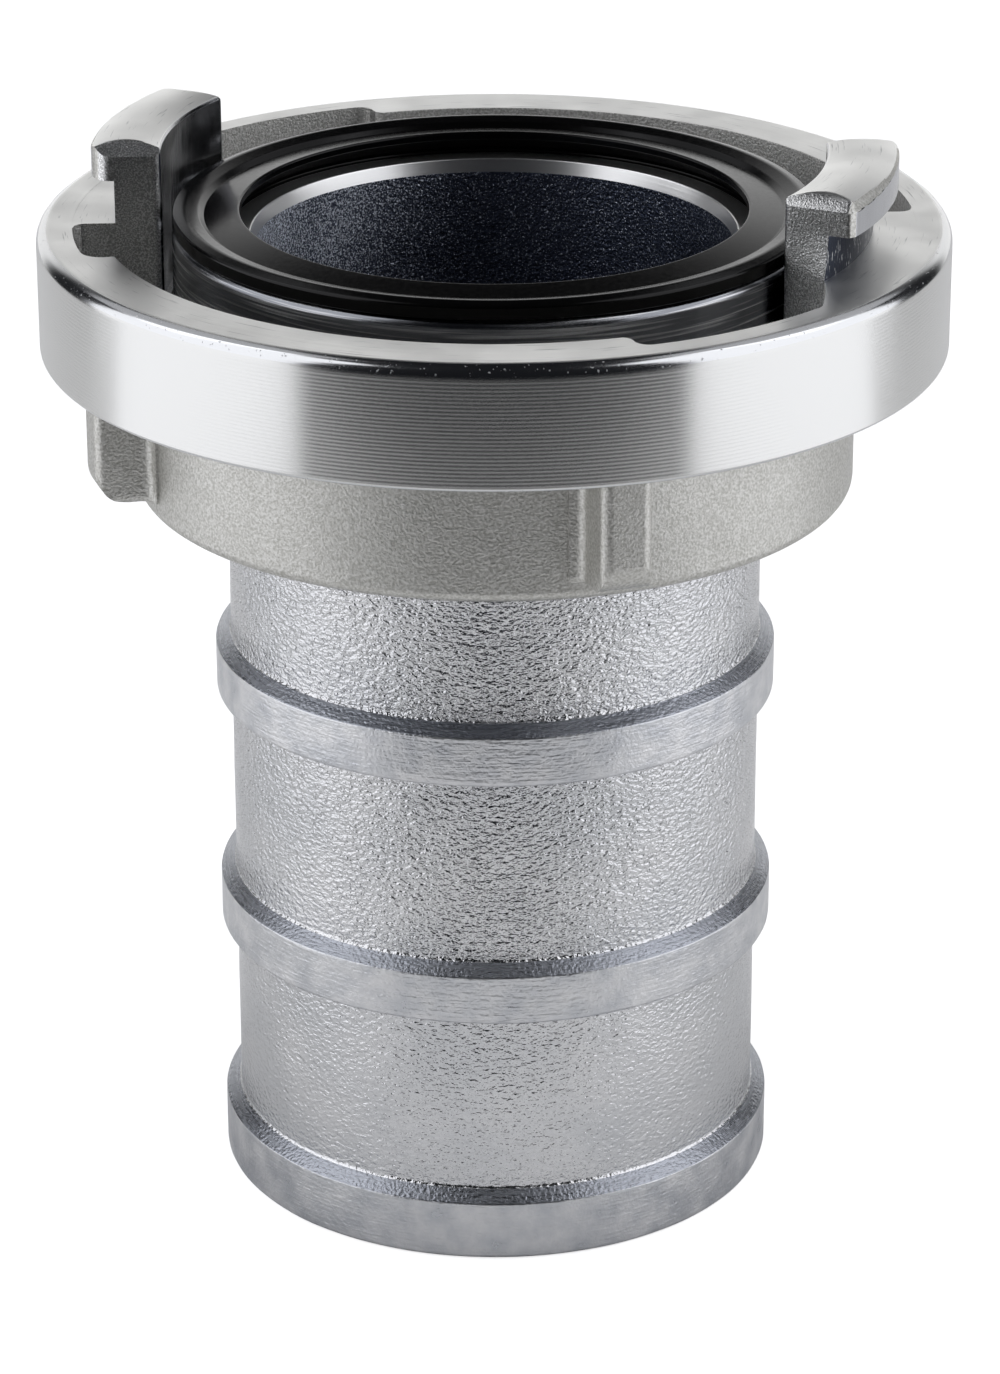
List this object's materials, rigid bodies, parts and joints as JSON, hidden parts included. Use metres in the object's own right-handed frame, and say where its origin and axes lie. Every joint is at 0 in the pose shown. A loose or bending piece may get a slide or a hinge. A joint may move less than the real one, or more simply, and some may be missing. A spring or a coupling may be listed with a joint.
{
  "type": "claw hose coupling",
  "caption": "Swivelling claw hose coupling: a flanged lug ring with hooked lugs turns on the collar of a barbed hose tail and seals on a rubber face ring.",
  "frame": {"origin": "centre of the hose tail's open end, on its end face", "axes": "+Z along the hose axis from the tail's end to the coupling face; +X is the direction the angles of lugs and ribs are counted from, anticlockwise seen from above"},
  "size_m": [0.126, 0.126, 0.1524],
  "materials": {
    "tail_aluminium": "tumbled casting, collar and bore mouth machined",
    "ring_aluminium": "forged and blasted, flange turned",
    "seal_rubber": "moulded black rubber",
    "wire_steel": "drawn spring wire"
  },
  "bodies": {
    "tail": {"hose_tail": "tail_aluminium", "face_seal": "seal_rubber", "snap_ring": "wire_steel"},
    "ring": {"lug_ring": "ring_aluminium"}
  },
  "joints": [
    {"name": "ring_swivel", "type": "hinge", "parent": "tail", "child": "ring", "pos_m": [0, 0, 0.118], "axis": [0, 0, 1], "continuous": true}
  ]
}
